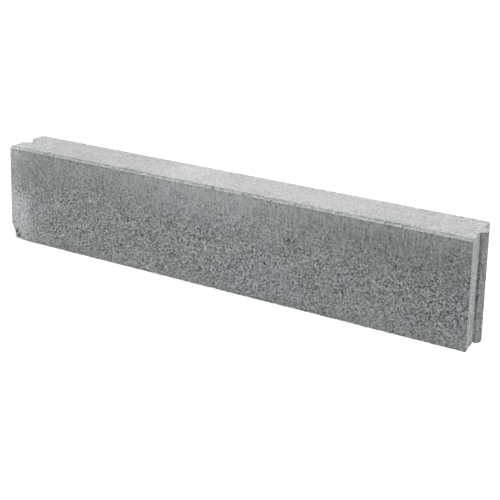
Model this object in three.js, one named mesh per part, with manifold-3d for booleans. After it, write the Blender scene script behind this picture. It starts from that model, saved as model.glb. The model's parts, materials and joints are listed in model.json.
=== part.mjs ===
// Precast concrete edging kerb: a straight block that stands on its long narrow
// bed, with a half-round tongue down one end and a matching half-round groove
// down the other, so that blocks laid end to end key into each other.
//
// The block is pressed from two concretes that are bonded while wet: a coarse
// backing that makes the body, and a finer facing on top that carries the two
// chamfered upper arrises. They meet on one level joint plane.
//
// Units are millimetres, +Z is up. The origin is the centre of the bed, midway
// between the two end faces; +X points out of the tongue end and -Y out of the
// front face.

import * as THREE from 'three';
import { mergeVertices } from 'three/addons/utils/BufferGeometryUtils.js';
import Module from 'manifold-3d';

// ---- driving dimensions -------------------------------------------------
const LENGTH = 1000;          // end face to end face, without the tongue
const HEIGHT = 200;           // bed to top
const THICKNESS = 100;        // front to rear
const FACING_DEPTH = 50;      // depth of the fine facing below the top
const TOP_CHAMFER = 5;        // 45 degree chamfer on both long upper arrises
const ARRIS_R = 2;            // rounding of the four upright arrises
const TONGUE_R = 12;          // half-round tongue
const KEY_CLEARANCE = 2;      // gap between tongue and groove, all round
const ROOT_FILLET_R = 1.5;    // where the tongue meets its end face
const MOUTH_ROUND_R = 1.5;    // at the two lips of the groove
const KEY_STEPS = 36;         // facets round the tongue and the groove
const SMALL_STEPS = 5;        // facets round each small radius
const OVERRUN = 20;           // least distance a cutter runs past the block's flat faces

const GROOVE_R = TONGUE_R + KEY_CLEARANCE;
const HALF_L = LENGTH / 2;
const HALF_T = THICKNESS / 2;
const JOINT_Z = HEIGHT - FACING_DEPTH;

// ---- plan outline -------------------------------------------------------
const { PI } = Math;

// Points of an arc about (x, y), with both angles in radians.
function arc(x, y, radius, startAngle, endAngle, steps) {
  return Array.from({ length: steps + 1 }, (_, i) => {
    const angle = startAngle + ((endAngle - startAngle) * i) / steps;
    return new THREE.Vector2(x + radius * Math.cos(angle), y + radius * Math.sin(angle));
  });
}

// A quarter-round upright arris; endSide is the sign of its X, faceSide of its Y.
function arris(endSide, faceSide, startAngle) {
  const x = endSide * (HALF_L - ARRIS_R);
  const y = faceSide * (HALF_T - ARRIS_R);
  return arc(x, y, ARRIS_R, startAngle, startAngle + PI / 2, SMALL_STEPS);
}

// A half-round centred on the end face at faceX and bulging towards +X: the
// tongue at one end, the groove's bowl at the other. The small blend circle at
// each side touches both the end face and the half-round. startSide is the sign
// of Y where the run begins.
function halfRound(faceX, radius, blendR, startSide) {
  const blendX = faceX + blendR;
  const blendY = startSide * Math.sqrt((radius + blendR) ** 2 - blendR ** 2);
  const touchAngle = Math.atan2(blendY, blendR);
  return [
    ...arc(blendX, blendY, blendR, PI, PI + touchAngle, SMALL_STEPS),
    // the blends already hold the two end points
    ...arc(faceX, 0, radius, touchAngle, -touchAngle, KEY_STEPS).slice(1, -1),
    ...arc(blendX, -blendY, blendR, PI - touchAngle, PI, SMALL_STEPS),
  ];
}

// Anticlockwise seen from above, from the front arris at the tongue end.
function planOutline() {
  return [
    ...arris(1, -1, -PI / 2),
    ...halfRound(HALF_L, TONGUE_R, ROOT_FILLET_R, -1),
    ...arris(1, 1, 0),
    ...arris(-1, 1, PI / 2),
    ...halfRound(-HALF_L, GROOVE_R, MOUTH_ROUND_R, 1),
    ...arris(-1, -1, PI),
  ];
}

// ---- geometry and solids ------------------------------------------------
const wasm = await Module();
wasm.setup();

function toSolid(geometry) {
  // vertices only merge once no normal or uv sets them apart
  const bare = geometry.clone();
  bare.deleteAttribute('normal');
  bare.deleteAttribute('uv');
  const merged = mergeVertices(bare, 1e-5);
  return new wasm.Manifold(new wasm.Mesh({
    numProp: 3,
    vertProperties: Float32Array.from(merged.attributes.position.array),
    triVerts: Uint32Array.from(merged.index.array),
  }));
}

// Unshared vertices give each facet its own flat normal.
function toGeometry(solid) {
  const { vertProperties, triVerts } = solid.getMesh();
  const geometry = new THREE.BufferGeometry();
  geometry.setAttribute('position', new THREE.BufferAttribute(vertProperties, 3));
  geometry.setIndex(new THREE.BufferAttribute(triVerts, 1));
  const flat = geometry.toNonIndexed();
  flat.computeVertexNormals();
  return flat;
}

function extrude(points, depth) {
  return new THREE.ExtrudeGeometry(new THREE.Shape(points), {
    depth,
    steps: 1,
    bevelEnabled: false,
  });
}

// The cross-section with its two top chamfers, drawn past both ends.
function chamferedBar() {
  const chamferZ = HEIGHT - TOP_CHAMFER;
  const topHalfT = HALF_T - TOP_CHAMFER;
  // columns: Y, Z
  const section = [
    [-HALF_T, 0],
    [HALF_T, 0],
    [HALF_T, chamferZ],
    [topHalfT, HEIGHT],
    [-topHalfT, HEIGHT],
    [-HALF_T, chamferZ],
  ];
  const points = section.map(([y, z]) => new THREE.Vector2(y, z));
  const bar = extrude(points, LENGTH + 2 * OVERRUN);
  // the section's x becomes Y, its y becomes Z and its depth becomes X
  bar.applyMatrix4(new THREE.Matrix4().set(
    0, 0, 1, -HALF_L - OVERRUN,
    1, 0, 0, 0,
    0, 1, 0, 0,
    0, 0, 0, 1,
  ));
  return toSolid(bar);
}

// The whole block: the plan drawn up from the bed, trimmed to the section.
function wholeBlock() {
  return toSolid(extrude(planOutline(), HEIGHT)).intersect(chamferedBar());
}

// A box between two levels that covers the whole plan, tongue included.
function slab(lowZ, highZ) {
  const box = new THREE.BoxGeometry(
    LENGTH + 4 * OVERRUN,
    THICKNESS + 2 * OVERRUN,
    highZ - lowZ,
  );
  box.translate(0, 0, (lowZ + highZ) / 2);
  return toSolid(box);
}

// ---- materials ----------------------------------------------------------
function concrete(color, roughness) {
  return new THREE.MeshStandardMaterial({ color, roughness, metalness: 0 });
}

const MATERIALS = {
  backing: concrete(0x85898a, 0.95),  // darker and rougher
  facing: concrete(0xaeafac, 0.9),    // paler and smoother
};

// ---- named pieces -------------------------------------------------------
// The part of the block between two levels, as a named mesh.
function layer(name, block, lowZ, highZ, material) {
  const mesh = new THREE.Mesh(toGeometry(block.intersect(slab(lowZ, highZ))), material);
  mesh.name = name;
  return mesh;
}

const block = wholeBlock();
const edger = new THREE.Group();
edger.name = 'concrete_edger';
edger.add(
  layer('core_block', block, -OVERRUN, JOINT_Z, MATERIALS.backing),
  layer('top_facing_layer', block, JOINT_Z, HEIGHT + OVERRUN, MATERIALS.facing),
);

export default edger;
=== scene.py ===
import json
import math

import bpy
import numpy as np
from mathutils import Matrix, Vector, geometry


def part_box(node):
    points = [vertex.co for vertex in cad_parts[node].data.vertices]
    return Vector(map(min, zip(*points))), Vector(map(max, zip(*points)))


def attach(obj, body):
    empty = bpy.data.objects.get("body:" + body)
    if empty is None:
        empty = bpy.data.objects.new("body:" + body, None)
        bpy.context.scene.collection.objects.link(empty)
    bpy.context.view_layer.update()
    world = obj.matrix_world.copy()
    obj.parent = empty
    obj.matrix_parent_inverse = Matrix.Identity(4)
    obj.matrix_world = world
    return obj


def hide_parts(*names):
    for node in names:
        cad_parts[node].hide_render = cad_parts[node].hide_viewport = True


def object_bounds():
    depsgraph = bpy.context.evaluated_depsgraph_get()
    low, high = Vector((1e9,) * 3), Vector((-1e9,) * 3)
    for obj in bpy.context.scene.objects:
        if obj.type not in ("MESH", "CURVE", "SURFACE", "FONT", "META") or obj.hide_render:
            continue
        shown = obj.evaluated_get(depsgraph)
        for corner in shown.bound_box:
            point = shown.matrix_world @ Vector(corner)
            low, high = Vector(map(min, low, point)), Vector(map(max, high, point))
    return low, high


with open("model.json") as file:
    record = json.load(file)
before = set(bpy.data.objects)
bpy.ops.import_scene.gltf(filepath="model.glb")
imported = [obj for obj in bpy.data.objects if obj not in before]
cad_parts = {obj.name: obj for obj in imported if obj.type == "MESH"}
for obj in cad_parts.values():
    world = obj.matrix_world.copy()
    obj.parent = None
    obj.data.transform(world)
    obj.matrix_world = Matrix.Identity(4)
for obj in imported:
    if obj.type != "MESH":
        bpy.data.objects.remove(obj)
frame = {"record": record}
cad_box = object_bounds()

# ---------------------------------------------------------------------------
# The block, in millimetres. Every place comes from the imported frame.
# ---------------------------------------------------------------------------
mount = {m["name"]: [1000 * c for c in m["pos_m"]] for m in frame["record"]["mounts"]}
HALF_L = mount["tongue_end_face"][0]
HALF_T = mount["rear_face"][1]
HEIGHT = mount["top_face"][2]
JOINT_Z = round(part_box("top_facing_layer")[0].z * 1000, 3)
TONGUE_R = round(cad_box[1].x * 1000, 3) - HALF_L
GROOVE_R = TONGUE_R + 2.0
ROOT = 1.5          # fillet at the tongue's root and rounding of the groove's lips
CHAMFER = 5.0       # both long upper arrises

STEP = 1.3          # mesh spacing on the open faces
FINE = 0.65         # and beside an arris


# ---------------------------------------------------------------------------
# Seeded noise, for arrays of points
# ---------------------------------------------------------------------------
def lattice_hash(ix, iy, iz, seed):
    """A number in [0, 1) for each integer point."""
    with np.errstate(over="ignore"):
        h = (
            ix.astype(np.int64).astype(np.uint32) * np.uint32(73856093)
            ^ iy.astype(np.int64).astype(np.uint32) * np.uint32(19349663)
            ^ iz.astype(np.int64).astype(np.uint32) * np.uint32(83492791)
            ^ np.uint32((seed * 2654435761) & 0xFFFFFFFF)
        )
        h ^= h >> np.uint32(16)
        h *= np.uint32(0x7FEB352D)
        h ^= h >> np.uint32(15)
        h *= np.uint32(0x846CA68B)
        h ^= h >> np.uint32(16)
    return h.astype(np.float64) / 4294967296.0


def value_noise(p, size, seed):
    """Smooth noise in [-1, 1] with features about size across. size may be one number or three."""
    q = p / np.asarray(size, float)
    i = np.floor(q)
    f = q - i
    w = f * f * f * (f * (f * 6 - 15) + 10)
    out = np.zeros(len(p))
    for dx in (0, 1):
        wx = w[:, 0] if dx else 1 - w[:, 0]
        for dy in (0, 1):
            wy = w[:, 1] if dy else 1 - w[:, 1]
            for dz in (0, 1):
                wz = w[:, 2] if dz else 1 - w[:, 2]
                out += wx * wy * wz * lattice_hash(
                    i[:, 0] + dx, i[:, 1] + dy, i[:, 2] + dz, seed
                )
    return out * 2 - 1


def fbm(p, size, seed, octaves=3, gain=0.5):
    total, amp, norm = np.zeros(len(p)), 1.0, 0.0
    for k in range(octaves):
        total += amp * value_noise(p, np.asarray(size, float) / 2**k, seed + 17 * k)
        norm += amp
        amp *= gain
    return total / norm


def pits(p, cell, share, r_low, r_high, seed):
    """How deep each point lies in a field of round pits, in millimetres, and 0 outside them.
    One pit at most per cell of space; share is the part of the cells that hold one (an array or a number)."""
    i = np.floor(p / cell)
    deep = np.zeros(len(p))
    for dx in (-1, 0, 1):
        for dy in (-1, 0, 1):
            for dz in (-1, 0, 1):
                c = (i[:, 0] + dx, i[:, 1] + dy, i[:, 2] + dz)
                here = lattice_hash(*c, seed) < share
                if not here.any():
                    continue
                s = [a[here] for a in c]
                centre = np.stack(
                    [(s[k] + lattice_hash(*s, seed + 1 + k)) * cell for k in range(3)], 1
                )
                r = r_low + (r_high - r_low) * lattice_hash(*s, seed + 5) ** 2.5
                d2 = ((p[here] - centre) ** 2).sum(1)
                cut = np.sqrt(np.maximum(r * r - d2, 0))
                deep[here] = np.maximum(deep[here], cut)
    return deep


def smoothstep(a, b, x):
    t = np.clip((x - a) / (b - a), 0, 1)
    return t * t * (3 - 2 * t)


# ---------------------------------------------------------------------------
# Surface lattice: rings of points from the bed to the top, closed by two caps
# ---------------------------------------------------------------------------
def spaced(a, b, near_a=True, near_b=True, reach=9.0):
    """Positions from a to b, close together beside an arris and STEP apart elsewhere."""
    x = np.linspace(a, b, 4001)
    d = np.full_like(x, 1e9)
    if near_a:
        d = np.minimum(d, x - a)
    if near_b:
        d = np.minimum(d, b - x)
    h = FINE + (STEP - FINE) * smoothstep(0, reach, d)
    t = np.concatenate([[0], np.cumsum((x[1] - x[0]) * 2 / (h[1:] + h[:-1]))])
    n = int(math.ceil(t[-1]))
    return np.interp(np.linspace(0, t[-1], n + 1), t, x)


def arc(cx, cy, r, a, b, n):
    t = np.linspace(a, b, n + 1)
    return np.stack([cx + r * np.cos(t), cy + r * np.sin(t)], 1)


def end_outline(side, inset):
    """The end's outline in plan, from the front corner to the rear corner."""
    y0 = HALF_T - inset
    if side > 0:
        root_y = math.sqrt((TONGUE_R + ROOT) ** 2 - ROOT**2)
        a = math.atan2(root_y, ROOT)
        parts = [
            np.array([[HALF_L, -y0]]),
            arc(HALF_L + ROOT, -root_y, ROOT, math.pi, math.pi - a, 12),
            arc(HALF_L, 0, TONGUE_R, -a, a, 120)[1:-1],
            arc(HALF_L + ROOT, root_y, ROOT, math.pi + a, math.pi, 12),
            np.array([[HALF_L, y0]]),
        ]
    else:
        lip_x = -HALF_L + ROOT
        lip_y = math.sqrt((GROOVE_R + ROOT) ** 2 - ROOT**2)
        a = math.atan2(lip_y, ROOT)
        parts = [
            np.array([[-HALF_L, -y0]]),
            arc(lip_x, -lip_y, ROOT, math.pi, math.pi - a, 12),
            arc(-HALF_L, 0, GROOVE_R, -a, a, 120)[1:-1],
            arc(lip_x, lip_y, ROOT, math.pi + a, math.pi, 12),
            np.array([[-HALF_L, y0]]),
        ]
    return np.concatenate(parts)


def resample(line, t):
    s = np.concatenate([[0], np.cumsum(np.linalg.norm(np.diff(line, axis=0), axis=1))])
    s /= s[-1]
    return np.stack([np.interp(t, s, line[:, k]) for k in range(2)], 1)


xs = spaced(-HALF_L, HALF_L)
length = np.linalg.norm(np.diff(end_outline(1, 0), axis=0), axis=1).sum()
vs = spaced(0, length) / length
z_core = spaced(0, JOINT_Z, True, False)
z_face = spaced(JOINT_Z, HEIGHT - CHAMFER, False, True, 6.0)
insets = np.linspace(0, CHAMFER, 9)[1:]
levels = (
    [(z, 0.0) for z in z_core]
    + [(z, 0.0) for z in z_face[1:]]
    + [(HEIGHT - CHAMFER + a, a) for a in insets]
)
W_JOINT = len(z_core) - 1
NU, NV, NW = len(xs) - 1, len(vs) - 1, len(levels) - 1
RING = 2 * NU + 2 * NV

points = []
for z, inset in levels:
    right = resample(end_outline(1, inset), vs)
    left = resample(end_outline(-1, inset), vs)
    y = HALF_T - inset
    ring = np.concatenate(
        [
            np.stack([xs[:-1], np.full(NU, -y)], 1),
            right[:-1],
            np.stack([xs[:0:-1], np.full(NU, y)], 1),
            left[:0:-1],
        ]
    )
    points.append(np.column_stack([ring, np.full(RING, z)]))
points = np.concatenate(points)

u_id, v_id = np.arange(NU + 1), np.arange(NV + 1)


def cap_points(inset, z):
    """The inner points of a cap: straight across the block's middle, and following the end's outline near each end."""
    right, left = resample(end_outline(1, inset), vs), resample(end_outline(-1, inset), vs)
    mid_y = (vs * 2 - 1) * (HALF_T - inset)
    reach = 45.0
    br = smoothstep(HALF_L - reach, HALF_L, xs)[:, None]
    bl = smoothstep(HALF_L - reach, HALF_L, -xs)[:, None]
    x = xs[:, None] + br * (right[:, 0] - HALF_L) + bl * (left[:, 0] + HALF_L)
    yy = mid_y * (1 - br - bl) + br * right[:, 1] + bl * left[:, 1]
    grid = np.stack([x, yy, np.full_like(x, z)], 2)
    return grid[1:-1, 1:-1].reshape(-1, 3)


def cap_ids(w, first):
    ids = np.zeros((NU + 1, NV + 1), np.int64)
    base = w * RING
    ids[:, 0] = base + u_id
    ids[NU, :] = base + NU + v_id
    ids[:, NV] = base + NU + NV + (NU - u_id)
    ids[0, :] = base + (2 * NU + NV + (NV - v_id)) % RING
    ids[1:-1, 1:-1] = first + np.arange((NU - 1) * (NV - 1)).reshape(NU - 1, NV - 1)
    return ids


inner = (NU - 1) * (NV - 1)
bed_first = len(points)
bed_ids = cap_ids(0, bed_first)
top_first = bed_first + inner
top_ids = cap_ids(NW, top_first)
points = np.concatenate(
    [points, cap_points(0.0, 0.0), cap_points(CHAMFER, HEIGHT)]
)

k = np.arange(RING)
k1 = (k + 1) % RING
walls = np.stack(
    [
        np.stack([w * RING + k, w * RING + k1, (w + 1) * RING + k1, (w + 1) * RING + k], 1)
        for w in range(NW)
    ]
)  # one block of quads per level
top_quads = np.stack(
    [top_ids[:-1, :-1], top_ids[1:, :-1], top_ids[1:, 1:], top_ids[:-1, 1:]], 2
).reshape(-1, 4)
bed_quads = np.stack(
    [bed_ids[:-1, :-1], bed_ids[:-1, 1:], bed_ids[1:, 1:], bed_ids[1:, :-1]], 2
).reshape(-1, 4)
quads = np.concatenate([walls.reshape(-1, 4), top_quads, bed_quads])
COUNT = len(points)


def vertex_normals(p):
    n = np.cross(p[quads[:, 2]] - p[quads[:, 0]], p[quads[:, 3]] - p[quads[:, 1]])
    out = np.zeros((COUNT, 3))
    for c in range(3):
        for j in range(4):
            out[:, c] += np.bincount(quads[:, j], n[:, c], COUNT)
    return out / np.maximum(np.linalg.norm(out, axis=1), 1e-12)[:, None]


edges = np.concatenate([quads[:, [j, (j + 1) % 4]] for j in range(4)])
degree = np.bincount(edges[:, 0], minlength=COUNT) + np.bincount(edges[:, 1], minlength=COUNT)


def soften(p, weight, rounds):
    """Moves each point towards the middle of its neighbours, by its weight."""
    for _ in range(rounds):
        mean = np.stack(
            [
                np.bincount(edges[:, 0], p[edges[:, 1], c], COUNT)
                + np.bincount(edges[:, 1], p[edges[:, 0], c], COUNT)
                for c in range(3)
            ],
            1,
        ) / degree[:, None]
        p = p + weight[:, None] * (mean - p)
    return p


# How far each point is from the nearest arris, measured on the sharp shape.
sharp = points.copy()
is_top = sharp[:, 2] > HEIGHT - 1e-6
is_bed = sharp[:, 2] < 1e-6
front_y = HALF_T - np.abs(sharp[:, 1])
end_x = HALF_L - np.abs(sharp[:, 0])
on_long = front_y < CHAMFER + 1e-6
arris_upright = np.hypot(front_y, end_x)
arris = np.minimum(arris_upright, np.minimum(np.where(is_bed, np.minimum(front_y, np.maximum(end_x, 0)), sharp[:, 2]), np.where(is_top, np.minimum(front_y - CHAMFER, np.maximum(end_x, 0)), HEIGHT - sharp[:, 2])))
chamfer_line = np.where(on_long, np.abs(HEIGHT - CHAMFER - sharp[:, 2]), 1e9)
arris = np.minimum(np.maximum(arris, 0), chamfer_line)

wear = 0.45 + 0.45 * fbm(sharp, 24.0, 301, 3)
round_off = smoothstep(3.6, 0.8, arris) * np.clip(wear, 0.10, 1)
round_off *= np.where(on_long & (sharp[:, 2] > HEIGHT - CHAMFER - 4) & (end_x > 5), 0.30, 1.0)
points = soften(points, 0.5 * round_off, 6)
normals = vertex_normals(points)

# ---------------------------------------------------------------------------
# Where the concrete is open and where it is closed: 1 is the coarse, open
# texture low on the faces, 0 the trowelled-looking skin of the top
# ---------------------------------------------------------------------------
x, y, z = sharp.T
side_face = np.abs(normals[:, 1]) > 0.6
up_face = normals[:, 2] > 0.6
down_face = normals[:, 2] < -0.6
band = z + 16 * fbm(sharp * [1, 1, 0.6], 95.0, 311, 3) + 7 * fbm(sharp, 22.0, 312, 2)
coarse = 1 - 0.72 * smoothstep(92, 178, band)
worn = np.exp(-((np.maximum(front_y - CHAMFER, 0) / 7.0) ** 2)) + smoothstep(75, 20, end_x)
coarse = np.where(up_face, 0.16 + 0.06 * fbm(sharp, 60.0, 313, 2) + 0.20 * np.minimum(worn, 1), coarse)
coarse = np.where(down_face, 0.9, coarse)
end_face = (np.abs(normals[:, 0]) > 0.35) & ~up_face & ~down_face
coarse = np.where(end_face, coarse * 0.75, coarse)
on_tongue = (x > HALF_L + 1.0) & ~up_face & ~down_face
coarse = np.where(on_tongue, coarse * 0.7, coarse)
coarse = soften(np.repeat(coarse[:, None], 3, 1), np.full(COUNT, 0.5), 4)[:, 0]
coarse = np.clip(coarse, 0.05, 1)

# ---------------------------------------------------------------------------
# Relief, all of it cut into the block
# ---------------------------------------------------------------------------
swell = 0.30 * (1 + fbm(sharp, 170.0, 321, 2))
grit = 0.5 * (1 + fbm(sharp, 4.6, 331, 2, 0.55)) * (0.10 + 0.95 * coarse)
lumps = 0.5 * (1 + fbm(sharp, 11.0, 341, 2)) * (0.06 + 0.26 * coarse)
share = np.clip(0.05 + 0.50 * coarse**1.6 + 0.18 * fbm(sharp, 30.0, 351, 2) * coarse, 0, 0.8)
bent = sharp + np.stack([fbm(sharp, 3.4, 355 + i, 2) for i in range(3)], 1) * 1.5
small_pits = pits(bent, 4.6, share, 0.7, 2.4, 361)
large_pits = pits(bent, 15.0, 0.26 * coarse**2, 1.4, 4.4, 371)
pore = np.maximum(small_pits * 0.75, large_pits * 0.62)
pore = np.minimum(pore, 2.0)
depth = swell + grit + lumps + pore - 0.55

points = points - normals * depth[:, None]

# ---------------------------------------------------------------------------
# Chips: scallops cut from the arrises by round tools whose centres lie outside
# ---------------------------------------------------------------------------
chipped = np.zeros(COUNT)
rng = np.random.default_rng(20811)
near = np.where(arris < 24)[0]


def chip(centre, along, radius, stretch, rough=0.10):
    """Pushes every point inside the stretched ball at centre out to its surface, which lies inside the block."""
    centre, along = np.asarray(centre, float), np.asarray(along, float)
    box = np.abs(points[near] - centre).max(1) < radius * max(stretch, 1) * 1.2
    ids = near[box]
    if not len(ids):
        return
    q = points[ids] - centre
    a = q @ along
    q = q - np.outer(a, along) + np.outer(a / stretch, along)
    d = np.linalg.norm(q, axis=1)
    wobble = 1 + rough * fbm(points[ids], max(radius * 0.45, 1.5), int(centre[0] * 7 + centre[2] * 3 + 9001) % 65000, 3, 0.6)
    r = radius * wobble
    inside = d < r
    if not inside.any():
        return
    push = (r / np.maximum(d, 1e-6))[:, None] * q
    a2 = push @ along
    push = push - np.outer(a2, along) + np.outer(a2 * stretch, along)
    new = centre + push
    moved = np.linalg.norm(new - points[ids], axis=1)
    moved = np.where(inside, moved, 0)
    points[ids[inside]] = new[inside]
    chipped[ids] = np.maximum(chipped[ids], np.clip(moved / 1.2, 0, 1))


def chips_along(start, end, outward, per_metre, bite, size):
    """Chips scattered along the arris from start to end. bite and size are (low, high), in millimetres."""
    start, end = np.asarray(start, float), np.asarray(end, float)
    outward = np.asarray(outward, float) / np.linalg.norm(outward)
    run = np.linalg.norm(end - start)
    along = (end - start) / run
    for _ in range(int(round(per_metre * run / 1000))):
        t = rng.random()
        small = rng.random() ** 2.6
        b = bite[0] + (bite[1] - bite[0]) * small
        r = size[0] + (size[1] - size[0]) * (0.65 * small + 0.35 * rng.random())
        tilt = outward + 0.35 * rng.normal(size=3)
        tilt -= along * (tilt @ along) * 0.6
        tilt /= np.linalg.norm(tilt)
        if tilt @ outward < 0.75:
            tilt = outward
        chip(start + along * run * t + tilt * (r - b), along, r, 1 + 1.2 * rng.random())


L, T, H = HALF_L, HALF_T, HEIGHT
for sy in (-1, 1):
    chips_along((-L, sy * T, 0), (L, sy * T, 0), (0, sy, -1), 130, (0.3, 1.7), (1.8, 5.4))
    chips_along((-L, sy * T, H - CHAMFER), (L, sy * T, H - CHAMFER), (0, sy, 0.45), 46, (0.3, 1.1), (1.8, 4.2))
    chips_along((-L, sy * (T - CHAMFER), H), (L, sy * (T - CHAMFER), H), (0, sy * 0.45, 1), 60, (0.3, 1.3), (1.8, 4.6))
    for sx in (-1, 1):
        chips_along((sx * L, sy * T, 0), (sx * L, sy * T, H - CHAMFER), (sx, sy, 0), 90, (0.3, 1.3), (1.8, 4.6))
        chips_along((sx * L, sy * 14, H), (sx * L, sy * (T - CHAMFER), H), (sx, 0, 1), 110, (0.3, 1.1), (1.6, 4.0))
        chips_along((sx * L, sy * 14, 0), (sx * L, sy * T, 0), (sx, 0, -1), 150, (0.3, 1.8), (1.8, 5.0))
for sy in (-1, 1):
    chips_along((-L, sy * (GROOVE_R + 1), 0), (-L, sy * (GROOVE_R + 1), H), (-1, -sy, 0), 90, (0.3, 1.6), (1.8, 4.5))
# tongue: nicks on its upper and lower rims
for a in np.linspace(-1.2, 1.2, 9):
    c, s = math.cos(a), math.sin(a)
    chips_along((L + TONGUE_R * c, TONGUE_R * s - 1.5, H), (L + TONGUE_R * c, TONGUE_R * s + 1.5, H), (c, s, 1), 400, (0.2, 0.7), (1.4, 2.6))
    chips_along((L + TONGUE_R * c, TONGUE_R * s - 1.5, 0), (L + TONGUE_R * c, TONGUE_R * s + 1.5, 0), (c, s, -1), 450, (0.2, 0.9), (1.5, 3.2))

# the knocked front corner at the groove end, low on the upright arris
chip((-L - 28.5, -T - 6.0, 0.0), (0, 0, 1), 40.0, 1.25, 0.03)
chip((-L + 14.0, -T - 5.0, -6.0), (1, 0, 0), 11.0, 2.2, 0.08)
chip((-L - 2.6, -T - 2.2, 44.0), (0, 0, 1), 4.4, 1.8, 0.2)
chip((-L + 13.5, -T - 0.8, 17.4), (0, 0, 1), 3.6, 1.2, 0.2)
chip((-L + 18.7, -T - 0.8, 8.9), (1, 0, 0), 3.7, 1.2, 0.2)
# and smaller knocks at the other corners
chip((L + 3.4, -T - 3.0, -3.0), (0, 0, 1), 6.0, 1.3, 0.16)
chip((L + 3.4, T + 3.2, -3.0), (0, 0, 1), 8.0, 1.5, 0.16)
chip((-L - 4.0, T + 3.0, -1.0), (0, 0, 1), 8.0, 1.4, 0.16)
chip((-L - 3.2, T + 2.6, H - 3), (0, 0, 1), 5.6, 1.4, 0.16)

# nothing goes below the bed, and the joint's own ring stays level, so that both
# layers still meet on one plane
points[:, 2] = np.clip(points[:, 2], 0.0, H)
ring_ids = np.arange(W_JOINT * RING, (W_JOINT + 1) * RING)
points[ring_ids, 2] = JOINT_Z
normals = vertex_normals(points)

# ---------------------------------------------------------------------------
# Large tones that the materials read: the tone is lightness, with painted light and shade in it; bloom is lime haze
# ---------------------------------------------------------------------------


def spot(cx, cy, cz, rx, ry, rz):
    return np.exp(-(((x - cx) / rx) ** 2 + ((y - cy) / ry) ** 2 + ((z - cz) / rz) ** 2))


cloud = fbm(sharp, 120.0, 401, 3)
ragged = 0.92 + 0.42 * fbm(sharp, 11.0, 402, 3)
from_end = x + L + 13 * fbm(sharp, 26.0, 403, 3)
width = 22 + 28 * smoothstep(115, 62, z)
width += 5 * smoothstep(45, 25, z)
bloom = 0.68 * (1 - smoothstep(width - 16, width + 14, from_end)) + 0.34 * (1 - smoothstep(width - 10, width + 78, from_end))
bloom *= (0.44 + 0.50 * smoothstep(150, 76, z)) * np.exp(-(((y + T) / 26) ** 2)) * ragged
bloom += 0.12 * spot(-L, 0, H, 90, 80, 12) + 0.14 * spot(-90, 18, H, 46, 22, 12)
bloom += 0.14 * spot(-130, T, 60, 90, 30, 46) * (0.7 + 0.6 * fbm(sharp, 26.0, 404, 3))
bloom += 0.16 * spot(330, T, 120, 70, 30, 60) * (0.7 + 0.6 * fbm(sharp, 26.0, 405, 3))
bloom = np.clip(bloom, 0, 1)

# lightness of the long faces, up the block and along it; the lift near the bed is painted light that cancels the shade
# the floor casts there
upper = smoothstep(112, 160, z + 10 * cloud)
tone_and_painted_light = 0.05 * cloud
tone_and_painted_light += 0.04 + 0.19 * smoothstep(62, 0, z) - 0.115 * smoothstep(85, 130, z) + 0.11 * smoothstep(160, 186, z)
tone_and_painted_light -= (1 - upper) * 0.02 * smoothstep(-80, 0, x)
tone_and_painted_light += upper * (0.16 * spot(-30, y, z, 150, 1e4, 1e4) - 0.02 * smoothstep(-180, -260, x) - 0.06 * smoothstep(60, 110, x) - 0.15 * smoothstep(90, 420, x))
tone_and_painted_light -= (1 - upper) * (0.07 * smoothstep(80, 240, x) + 0.02 * smoothstep(290, 320, x) + 0.11 * smoothstep(340, 440, x))
tone_and_painted_light += (1 - upper) * (0.022 * smoothstep(60, -60, x) + 0.045 * spot(-172, y, z, 40, 1e4, 1e4) - 0.035 * spot(195, y, z, 55, 1e4, 1e4))
top_tone = 0.025 * cloud + 0.04 * smoothstep(-200, -60, x) - 0.05 * smoothstep(60, 300, x) - 0.03
for cx, rx, amount in ((-85, 75, 0.070), (85, 55, -0.055), (262, 40, 0.040), (380, 60, -0.030)):
    top_tone += amount * spot(cx, y, z, rx, 1e4, 1e4)
tone_and_painted_light = np.where(up_face, top_tone, tone_and_painted_light)
tone_and_painted_light = np.where(end_face, 0.04 * cloud, tone_and_painted_light)

# thin dark lines of painted shade: at the root of the tongue and inside the groove, where shade falls in the corners,
# and plain dark lines along both arrises of each chamfer
run = 0.75 + 0.75 * fbm(sharp * [1, 0, 0], 11.0, 411, 2)
root = np.minimum(
    np.hypot(x - HALF_L, np.abs(y) - TONGUE_R - 0.6), np.hypot(x + HALF_L - GROOVE_R * 0.9, np.abs(y) - 4)
)
shade_lines = 0.56 * np.exp(-((root / 3.2) ** 2)) * (z < H - 0.5)
above = np.hypot(HALF_T - CHAMFER - np.abs(y), H - z)
below = np.hypot(HALF_T - np.abs(y), z - (H - CHAMFER - 1.6))
shade_lines = np.maximum(shade_lines, 0.62 * np.exp(-((above / 1.3) ** 2)) * run)
shade_lines = np.maximum(shade_lines, 0.34 * np.exp(-((below / 1.7) ** 2)) * run)
lit_edge = np.exp(-(((z - (H - CHAMFER + 1.3)) / 1.1) ** 2)) * (np.abs(y) > T - CHAMFER - 1) * ~end_face
tone_and_painted_light += 0.17 * lit_edge * run
shade_lines = np.where(end_face & (np.abs(y) > 20), 0, shade_lines)
# painted shade along the upright arrises at the tongue end, on the long faces
shade_lines = np.maximum(shade_lines, (0.16 + 0.26 * smoothstep(185, 140, z) + 0.26 * smoothstep(40, 8, z)) * np.exp(-((arris_upright / 3.2) ** 2)) * side_face * (x > 0))
# painted shadow in the recesses of the chips at the knocked corner, both as dark lines and as darkened pits
for cx, cz, r in ((13.5, 17.4, 4.0), (18.7, 8.9, 4.2), (29.0, 6.5, 2.6), (41.4, 14.8, 2.5), (7.0, 36.0, 1.9)):
    shade_lines = np.maximum(shade_lines, 1.1 * spot(-L + cx, -T, cz, r, 14, r))
    pore = np.maximum(pore, 1.3 * spot(-L + cx, -T, cz, r, 14, r))
# painted shade: the tongue is darker than the faces beside it, most towards its crest, as if its front lay in the
# shoulder's shade
tone_and_painted_light = np.where(on_tongue, tone_and_painted_light - 0.15 - 0.22 * smoothstep(3, TONGUE_R, x - HALF_L), tone_and_painted_light)


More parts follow.
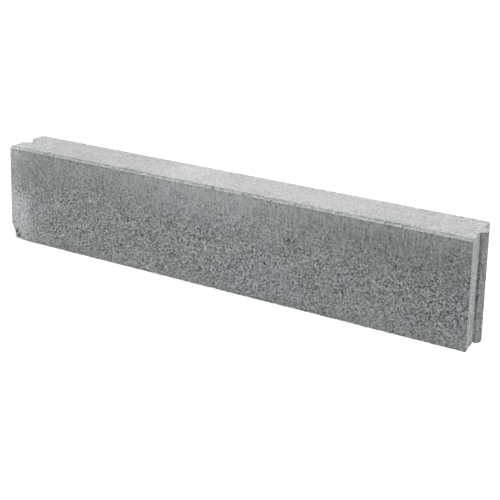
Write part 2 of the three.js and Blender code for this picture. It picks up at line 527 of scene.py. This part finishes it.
# the paste is bluer in some places (positive) and yellower in others (negative)
places = [-500, -420, -330, -230, -100, 50, 110, 250, 330, 500]
hue_high = np.interp(x, places, [-0.9, -1.3, -0.7, -0.4, 0.6, 0.5, -0.6, -0.7, -0.4, -0.4])
hue_low = np.interp(x, places, [0.0, -0.2, -0.8, -0.7, -0.5, 0.3, 0.5, 0.1, 0.0, 0.0])
hue = hue_low + (hue_high - hue_low) * smoothstep(100, 145, z + 10 * cloud) - 0.4 * smoothstep(26, 6, z) - 0.6 * smoothstep(172, 190, z)
hue = np.where(up_face | end_face, 0.0, np.where(y > 0, 1.2 * fbm(sharp, 140.0, 421, 2), hue))
hue = np.where(on_tongue, -3.5, hue)  # a neutral grey, which the material takes from any hue under -3


def to_object(name, keep_quads, flat_faces, material, node):
    """One closed piece: the quads it keeps, and its flat face on the joint plane."""
    used = np.unique(np.concatenate([keep_quads.ravel(), flat_faces["quads"].ravel(), flat_faces["tris"].ravel()]))
    new = np.full(COUNT, -1, np.int64)
    new[used] = np.arange(len(used))
    q = np.concatenate([keep_quads, flat_faces["quads"]])
    t = flat_faces["tris"]
    mesh = bpy.data.meshes.new(name)
    mesh.vertices.add(len(used))
    mesh.vertices.foreach_set("co", (points[used] / 1000).astype(np.float32).ravel())
    mesh.loops.add(4 * len(q) + 3 * len(t))
    mesh.loops.foreach_set("vertex_index", np.concatenate([new[q].ravel(), new[t].ravel()]).astype(np.int32))
    mesh.polygons.add(len(q) + len(t))
    starts = np.concatenate([np.arange(len(q)) * 4, 4 * len(q) + np.arange(len(t)) * 3])
    mesh.polygons.foreach_set("loop_start", starts.astype(np.int32))
    mesh.update(calc_edges=True)
    mesh.validate()
    flat = np.zeros(len(mesh.polygons), bool)
    flat[len(keep_quads):] = True
    mesh.attributes.new("sharp_face", "BOOLEAN", "FACE").data.foreach_set("value", flat)
    for label, values in (("pore", np.clip(pore / 1.6, 0, 1)), ("coarse", coarse * np.where(side_face, 1.10 - 0.22 * smoothstep(-150, 330, x), 1.0)), ("chipped", chipped), ("bloom", bloom), ("tone_and_painted_light", tone_and_painted_light), ("shade_lines", np.clip(shade_lines, 0, 1)), ("hue", hue)):
        mesh.attributes.new(label, "FLOAT", "POINT").data.foreach_set("value", values[used].astype(np.float32))
    mesh.materials.append(material)
    piece = bpy.data.objects.new(name, mesh)
    bpy.context.scene.collection.objects.link(piece)
    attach(piece, "root")
    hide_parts(node)
    return piece


def joint_faces(upward):
    """The flat face that closes a layer on the joint plane: strips across the block, and one filled patch at each end."""
    base = W_JOINT * RING
    front = base + u_id
    rear = base + NU + NV + (NU - u_id)
    right = base + NU + v_id
    left = base + (2 * NU + NV + (NV - v_id)) % RING
    lo = int(np.searchsorted(xs, -HALF_L + 2 * GROOVE_R))
    hi = int(np.searchsorted(xs, HALF_L - 2 * GROOVE_R))
    strip = np.stack([front[lo:hi], front[lo + 1 : hi + 1], rear[lo + 1 : hi + 1], rear[lo:hi]], 1)
    tris = []
    for loop in (
        np.concatenate([front[: lo + 1], rear[lo::-1], left[-2:0:-1]]),
        np.concatenate([front[hi:], right[1:-1], rear[:hi - 1:-1]]),
    ):
        flat = [Vector((points[i, 0], points[i, 1], 0)) for i in loop]
        for t in geometry.tessellate_polygon([flat]):
            a, b, c = (loop[j] for j in t)
            area = np.cross(points[b, :2] - points[a, :2], points[c, :2] - points[a, :2])
            if abs(area) < 1e-9:
                continue
            tris.append((a, b, c) if area > 0 else (a, c, b))
    tris = np.array(tris, np.int64)
    if not upward:
        strip, tris = strip[:, ::-1], tris[:, ::-1]
    return {"quads": strip, "tris": tris}


# ---------------------------------------------------------------------------
# Materials
# ---------------------------------------------------------------------------
class Graph:
    """Short names for building a node tree."""

    def __init__(self, name):
        self.material = bpy.data.materials.new(name)
        self.material.use_nodes = True
        self.tree = self.material.node_tree
        self.tree.nodes.clear()

    def node(self, kind, **inputs):
        n = self.tree.nodes.new(kind)
        for key, value in inputs.items():
            if hasattr(value, "is_output"):
                self.tree.links.new(value, n.inputs[key.replace("_", " ")])
            else:
                n.inputs[key.replace("_", " ")].default_value = value
        return n

    def math(self, op, a, b=0.0, c=0.0, clamp=False):
        n = self.tree.nodes.new("ShaderNodeMath")
        n.operation, n.use_clamp = op, clamp
        for i, value in enumerate((a, b, c)):
            if hasattr(value, "is_output"):
                self.tree.links.new(value, n.inputs[i])
            else:
                n.inputs[i].default_value = value
        return n.outputs[0]

    def ramp(self, value, low, high, out_low=0.0, out_high=1.0):
        n = self.tree.nodes.new("ShaderNodeMapRange")
        n.interpolation_type = "SMOOTHSTEP"
        self.tree.links.new(value, n.inputs["Value"])
        for key, v in (("From Min", low), ("From Max", high), ("To Min", out_low), ("To Max", out_high)):
            n.inputs[key].default_value = v
        return n.outputs["Result"]

    def attribute(self, name):
        n = self.tree.nodes.new("ShaderNodeAttribute")
        n.attribute_name = name
        return n.outputs["Fac"]

    def vector(self, scale, raised=0.0):
        """The object's coordinates in metres, each times its scale, taken raised millimetres higher up."""
        if not hasattr(self, "coords"):
            self.coords = self.tree.nodes.new("ShaderNodeTexCoord").outputs["Object"]
        n = self.tree.nodes.new("ShaderNodeMapping")
        self.tree.links.new(self.coords, n.inputs["Vector"])
        n.inputs["Scale"].default_value = scale
        n.inputs["Location"].default_value = (0, 0, raised / 1000 * scale[2])
        return n.outputs["Vector"]

    def noise(self, size, detail=2.0, roughness=0.5, raised=0.0):
        """Noise about 0, between roughly -0.5 and 0.5, with features of size millimetres."""
        size = (size,) * 3 if isinstance(size, (int, float)) else size
        n = self.node("ShaderNodeTexNoise", Vector=self.vector([1000 / s for s in size], raised), Scale=1.0, Detail=detail, Roughness=roughness)
        return self.math("SUBTRACT", n.outputs["Fac"], 0.5)

    def vector_math(self, op, *values):
        n = self.tree.nodes.new("ShaderNodeVectorMath")
        n.operation = op
        for i, value in enumerate(values):
            socket = n.inputs["Scale"] if op == "SCALE" and i == 1 else n.inputs[i]
            if hasattr(value, "is_output"):
                self.tree.links.new(value, socket)
            else:
                socket.default_value = value
        return n.outputs[0]

    def cells(self, size, bend):
        """Irregular grains of size millimetres: distance from a grain's middle, and two random numbers for each grain."""
        shift = self.node("ShaderNodeTexNoise", Vector=self.vector((1300 / size,) * 3), Scale=1.0, Detail=1.5)
        shift = self.vector_math("SUBTRACT", shift.outputs["Color"], (0.5, 0.5, 0.5))
        where = self.vector_math("MULTIPLY_ADD", shift, (bend, bend, bend), self.vector((1000 / size,) * 3))
        n = self.node("ShaderNodeTexVoronoi", Vector=where, Scale=1.0)
        s = self.tree.nodes.new("ShaderNodeSeparateColor")
        self.tree.links.new(n.outputs["Color"], s.inputs[0])
        return n.outputs["Distance"], s.outputs[0], s.outputs[1]

    def mix(self, factor, a, b):
        n = self.tree.nodes.new("ShaderNodeMix")
        n.data_type = "RGBA"
        for socket, value in ((n.inputs[0], factor), (n.inputs[6], a), (n.inputs[7], b)):
            if hasattr(value, "is_output"):
                self.tree.links.new(value, socket)
            else:
                socket.default_value = value
        return n.outputs[2]


def concrete(name, low_colour, high_colour, low_z, high_z, top_colour, end_shaded_colour):
    """Grey pressed concrete. Its colour runs from low_colour at low_z to high_colour at high_z, in millimetres above the bed."""
    g = Graph(name)
    coarse_, pore_, chip_, bloom_, tone_and_painted_light_, shade_lines_, hue_ = (
        g.attribute(a) for a in ("coarse", "pore", "chipped", "bloom", "tone_and_painted_light", "shade_lines", "hue")
    )

    # which way the surface faces, from the smooth mesh and not from the bump
    geo = g.tree.nodes.new("ShaderNodeNewGeometry")
    facing = g.tree.nodes.new("ShaderNodeSeparateXYZ")
    g.tree.links.new(geo.outputs["Normal"], facing.inputs[0])
    place = g.tree.nodes.new("ShaderNodeSeparateXYZ")
    g.vector((1, 1, 1))
    g.tree.links.new(g.coords, place.inputs[0])
    height = g.math("MULTIPLY", place.outputs["Z"], 1000.0)
    upward = g.ramp(facing.outputs["Z"], 0.55, 0.85)
    endward = g.ramp(g.math("ABSOLUTE", facing.outputs["X"]), 0.55, 0.85)

    base = g.mix(g.ramp(height, low_z, high_z), (*low_colour, 1), (*high_colour, 1))
    base = g.mix(endward, base, (*end_shaded_colour, 1))
    base = g.mix(upward, base, (*top_colour, 1))

    # sand and grit: each cell is one grain
    d1, a1, b1 = g.cells(3.4, 1.5)
    d2, a2, b2 = g.cells(1.6, 1.4)
    broad = g.noise(150.0, 3.0)
    patch = g.noise(38.0, 3.0, 0.6)
    mottle = g.noise(9.0, 3.0, 0.65)
    speck = g.noise(4.1, 1.0, 0.40)
    fine = g.noise(3.2, 3.0, 0.7)
    dust = g.noise(1.1, 2.0, 0.6)
    drag = g.noise((3.6, 3.6, 26.0), 2.0, 0.55)
    stroke = g.noise((60.0, 3.4, 60.0), 2.0, 0.6)

    light = g.math("ADD", tone_and_painted_light_, 1.0)
    light = g.math("MULTIPLY_ADD", broad, 0.14, light)
    light = g.math("MULTIPLY_ADD", patch, 0.20, light)
    gain = g.math("MULTIPLY_ADD", coarse_, 0.88, 0.17)
    gain = g.math("MULTIPLY", gain, g.math("MULTIPLY_ADD", g.noise(44.0, 2.5, 0.55), 1.5, 1.10))
    gain = g.math("MULTIPLY", gain, g.math("MULTIPLY_ADD", upward, 0.20, 1.0))
    grain = g.math("SUBTRACT", g.math("ADD", g.math("MULTIPLY", a1, 0.6), g.math("MULTIPLY", a2, 0.4)), 0.5)
    texture = g.math("MULTIPLY", mottle, 0.34)
    texture = g.math("MULTIPLY_ADD", speck, 1.55, texture)
    texture = g.math("MULTIPLY_ADD", fine, 1.10, texture)
    texture = g.math("MULTIPLY_ADD", dust, 1.10, texture)
    texture = g.math("MULTIPLY_ADD", grain, 0.95, texture)
    light = g.math("MULTIPLY_ADD", texture, gain, light)
    closed = g.math("SUBTRACT", 1.0, coarse_, clamp=True)
    light = g.math("MULTIPLY_ADD", g.math("MULTIPLY", drag, closed), g.math("MULTIPLY_ADD", upward, -1.20, 1.20), light)
    light = g.math("MULTIPLY_ADD", g.math("MULTIPLY", stroke, upward), 0.26, light)

    # open voids between the grains, too small for the mesh: many where the texture is coarse, few in the closed skin
    fewer = g.math("MULTIPLY", g.math("SUBTRACT", 1.0, coarse_), 0.085)
    holes = g.ramp(g.math("ADD", fewer, g.noise(3.5, 2.5, 0.55)), -0.107, -0.128)
    above = g.ramp(g.math("ADD", fewer, g.noise(3.5, 2.5, 0.55, 0.75)), -0.107, -0.128)
    d4, a4, b4 = g.cells(8.0, 0.9)
    blow = g.math("MULTIPLY", g.ramp(d4, 0.22, 0.12), g.ramp(a4, 0.76, 0.80))
    holes = g.math("MAXIMUM", holes, g.math("MULTIPLY", blow, g.ramp(coarse_, 0.1, 0.6)))

    # painted shade: a void is darkened, most under its upper lip, and a painted highlight lies on its lower lip, where
    # it catches the light
    lip = g.math("MULTIPLY", above, g.math("SUBTRACT", 1.0, holes))
    shade = g.math("MULTIPLY_ADD", g.math("MULTIPLY", holes, g.math("MULTIPLY_ADD", above, -0.40, 1.0)), -0.96, 1.0)
    shade = g.math("MULTIPLY_ADD", lip, 0.22, shade)
    # painted shade in the mesh's pits as well, on top of their real depth
    shade = g.math("MULTIPLY", shade, g.math("MULTIPLY_ADD", g.ramp(pore_, 0.15, 0.9), -0.46, 1.0))
    shade = g.math("MULTIPLY", shade, g.math("MULTIPLY_ADD", chip_, -0.10, 1.0))
    # painted shade along the dark lines at corners, arrises and chips
    shade = g.math("MULTIPLY", shade, g.math("MULTIPLY_ADD", g.math("MULTIPLY", shade_lines_, g.math("MULTIPLY_ADD", fine, 1.2, 1.0)), -0.52, 1.0))
    light = g.math("MULTIPLY", light, shade)

    # pale quartz grains and a few dark ones
    pale = g.math("MULTIPLY", g.ramp(b1, 0.88, 0.93), g.ramp(d1, 0.40, 0.30))
    dark = g.math("MULTIPLY", g.ramp(b2, 0.93, 0.97), g.ramp(d2, 0.42, 0.30))
    light = g.math("MULTIPLY_ADD", g.math("MULTIPLY", pale, gain), 0.62, light)
    light = g.math("MULTIPLY_ADD", g.math("MULTIPLY", dark, gain), -0.45, light)
    light = g.math("MAXIMUM", light, 0.16)

    colour = g.vector_math("SCALE", base, light)
    # grains differ a very little in hue
    warm = g.mix(g.ramp(b1, 0.1, 0.9), (0.995, 1.0, 1.0025, 1), (1.005, 1.0, 0.997, 1))
    colour = g.vector_math("MULTIPLY", colour, warm)
    # and the paste in patches, with a little soil beside the bed
    colour = g.vector_math("MULTIPLY", colour, g.mix(g.ramp(hue_, -2.0, 2.0), (1.006, 1.0, 0.955, 1), (0.994, 1.0, 1.045, 1)))
    colour = g.vector_math("MULTIPLY", colour, g.mix(g.ramp(hue_, -2.3, -3.3), (1, 1, 1, 1), (1.029, 1.0, 1.037, 1)))
    colour = g.vector_math("MULTIPLY", colour, g.mix(g.ramp(g.noise(58.0, 2.0), -0.2, 0.2), (1.004, 1.0, 0.987, 1), (0.993, 1.0, 1.022, 1)))
    colour = g.vector_math("MULTIPLY", colour, g.mix(g.ramp(height, 18.0, 3.0), (1, 1, 1, 1), (1.020, 1.0, 0.990, 1)))
    # lime haze: pale, a little violet half way up, thinner over the pores and over the painted shade lines
    lime = g.mix(g.ramp(height, 22.0, 60.0), (0.700, 0.712, 0.705, 1), (0.687, 0.712, 0.742, 1))
    lime = g.mix(g.ramp(height, 80.0, 120.0), lime, (0.690, 0.712, 0.708, 1))
    lime = g.vector_math("SCALE", lime, g.math("MULTIPLY_ADD", texture, 0.45, 1.0))
    haze = g.math("MULTIPLY", bloom_, g.math("MULTIPLY_ADD", holes, -0.50, g.math("MULTIPLY_ADD", speck, 1.0, 0.97)))
    haze = g.math("MULTIPLY", haze, g.math("MULTIPLY_ADD", shade_lines_, -0.85, 1.0), clamp=True)
    colour = g.mix(haze, colour, lime)

    # relief too fine for the mesh, in millimetres
    relief = g.math("MULTIPLY", fine, g.math("MULTIPLY_ADD", coarse_, 0.75, 0.16))
    relief = g.math("MULTIPLY_ADD", g.math("MULTIPLY", dust, g.math("MULTIPLY_ADD", coarse_, 0.25, 0.10)), 1.0, relief)
    relief = g.math("MULTIPLY_ADD", g.ramp(d2, 0.62, 0.05), g.math("MULTIPLY_ADD", coarse_, 0.26, 0.04), relief)
    relief = g.math("MULTIPLY_ADD", g.ramp(d1, 0.62, 0.10), g.math("MULTIPLY", coarse_, 0.30), relief)
    relief = g.math("MULTIPLY_ADD", holes, -0.80, relief)
    relief = g.math("MULTIPLY_ADD", g.math("MULTIPLY", drag, closed), 0.10, relief)
    bump = g.node("ShaderNodeBump", Height=relief, Strength=1.0, Distance=0.001)

    rough = g.math("MULTIPLY_ADD", mottle, 0.10, 0.90)
    rough = g.math("MULTIPLY_ADD", chip_, 0.06, rough)
    rough = g.math("MULTIPLY_ADD", upward, -0.05, rough, clamp=True)
    shader = g.node("ShaderNodeBsdfPrincipled", Base_Color=colour, Roughness=rough, Normal=bump.outputs[0])
    shader.inputs["Specular IOR Level"].default_value = 0.25
    shader.inputs["IOR"].default_value = 1.45
    out = g.node("ShaderNodeOutputMaterial", Surface=shader.outputs[0])
    return g.material


LOW = (0.333, 0.357, 0.353)
HIGH = (0.342, 0.362, 0.355)
TOP = (0.412, 0.414, 0.406)
# painted shade: the end faces take a slightly darker copy of the long faces' colour, which tones down their lit strip
END_SHADED = (0.331, 0.345, 0.345)
backing = concrete("backing_concrete", LOW, HIGH, 20.0, 260.0, TOP, END_SHADED)
facing = concrete("facing_concrete", LOW, HIGH, 20.0, 260.0, TOP, END_SHADED)

core = to_object(
    "core_block_cast",
    np.concatenate([walls[:W_JOINT].reshape(-1, 4), bed_quads]),
    joint_faces(True), backing, "core_block",
)
face = to_object(
    "top_facing_layer_cast",
    np.concatenate([walls[W_JOINT:].reshape(-1, 4), top_quads]),
    joint_faces(False), facing, "top_facing_layer",
)

# ---------------------------------------------------------------------------
# Floor, light and camera
# ---------------------------------------------------------------------------
scene = bpy.context.scene
scene.view_settings.view_transform = "Standard"
scene.view_settings.look = "None"

floor_mesh = bpy.data.meshes.new("floor")
R = 30.0
floor_mesh.from_pydata([(-R, -R, 0), (R, -R, 0), (R, R, 0), (-R, R, 0)], [], [(0, 1, 2, 3)])
floor = bpy.data.objects.new("floor", floor_mesh)
scene.collection.objects.link(floor)
floor.location.z = -0.0002
g = Graph("studio_floor")
paper = g.node("ShaderNodeBsdfDiffuse", Color=(0.90, 0.90, 0.90, 1))
glow = g.node("ShaderNodeEmission", Color=(1, 1, 1, 1), Strength=1.24)
path = g.tree.nodes.new("ShaderNodeLightPath")
part = g.math("MULTIPLY", path.outputs["Is Camera Ray"], 0.72)
both = g.tree.nodes.new("ShaderNodeMixShader")
g.tree.links.new(part, both.inputs[0])
g.tree.links.new(paper.outputs[0], both.inputs[1])
g.tree.links.new(glow.outputs[0], both.inputs[2])
g.node("ShaderNodeOutputMaterial", Surface=both.outputs[0])
floor_mesh.materials.append(g.material)

world = bpy.data.worlds.new("studio")
scene.world = world
world.use_nodes = True
sky = Graph.__new__(Graph)
sky.tree = world.node_tree
backdrop = world.node_tree.nodes["Background"]
backdrop.inputs[0].default_value = (0.97, 0.985, 1.0, 1)
seen = world.node_tree.nodes.new("ShaderNodeLightPath").outputs["Is Camera Ray"]
sky.tree.links.new(sky.math("MULTIPLY_ADD", seen, 0.62, 0.42), backdrop.inputs[1])


def area(name, at, towards, width, depth, power):
    lamp = bpy.data.lights.new(name, "AREA")
    lamp.shape, lamp.size, lamp.size_y, lamp.energy = "RECTANGLE", width, depth, power
    o = bpy.data.objects.new(name, lamp)
    o.location = at
    o.visible_camera = False
    o.rotation_euler = (Vector(towards) - Vector(at)).to_track_quat("-Z", "Y").to_euler()
    scene.collection.objects.link(o)
    return o


area("overhead", (0.3, 0.4, 3.2), (0, 0, 0), 3.2, 3.2, 118)
area("right_side", (3.2, 0.2, 1.4), (0.4, 0, 0.1), 1.6, 1.6, 30)

# The camera that sees the block as the reference does. Its frame is a crop of a
# larger picture, so the lens is shifted; the shift holds only from this place.
F_PX, PITCH, YAW, ROLL = 900.65, math.radians(10.1966), math.radians(23.5994), math.radians(2.6686)
TX, TY, TZ, CX, CY = 0.260042, 0.356369, 1.688042, 360.966, 54.925
forward = Vector((-math.sin(YAW) * math.cos(PITCH), math.cos(YAW) * math.cos(PITCH), -math.sin(PITCH)))
right = Vector((math.cos(YAW), math.sin(YAW), 0))
up = right.cross(forward)
right_r = right * math.cos(ROLL) + up * math.sin(ROLL)
up_r = -right * math.sin(ROLL) + up * math.cos(ROLL)
centre = Vector((0, -HALF_T / 1000, HEIGHT / 2000))
place = centre - forward * TZ + right * TX + up * TY
lens = bpy.data.cameras.new("camera")
camera = bpy.data.objects.new("camera", lens)
scene.collection.objects.link(camera)
m = Matrix.Identity(4)
for i, axis in enumerate((right_r, up_r, -forward)):
    for j in range(3):
        m[j][i] = axis[j]
m.translation = place
camera.matrix_world = m
lens.sensor_width = 36.0
lens.lens = F_PX / 500 * 36.0
lens.clip_start, lens.clip_end = 0.02, 200.0
for path_name, amount in (("shift_x", (250 - CX) / 500), ("shift_y", (CY - 250) / 500)):
    driver = lens.driver_add(path_name).driver
    driver.type = "SCRIPTED"
    for label, channel in (("x", "LOC_X"), ("y", "LOC_Y")):
        variable = driver.variables.new()
        variable.name, variable.type = label, "TRANSFORMS"
        variable.targets[0].id = camera
        variable.targets[0].transform_type = channel
        variable.targets[0].transform_space = "WORLD_SPACE"
    driver.expression = f"{amount:.6f} if abs(x - {place.x:.5f}) + abs(y - {place.y:.5f}) < 0.01 else 0.0"
scene.camera = camera

print("points", COUNT, "quads", len(quads))
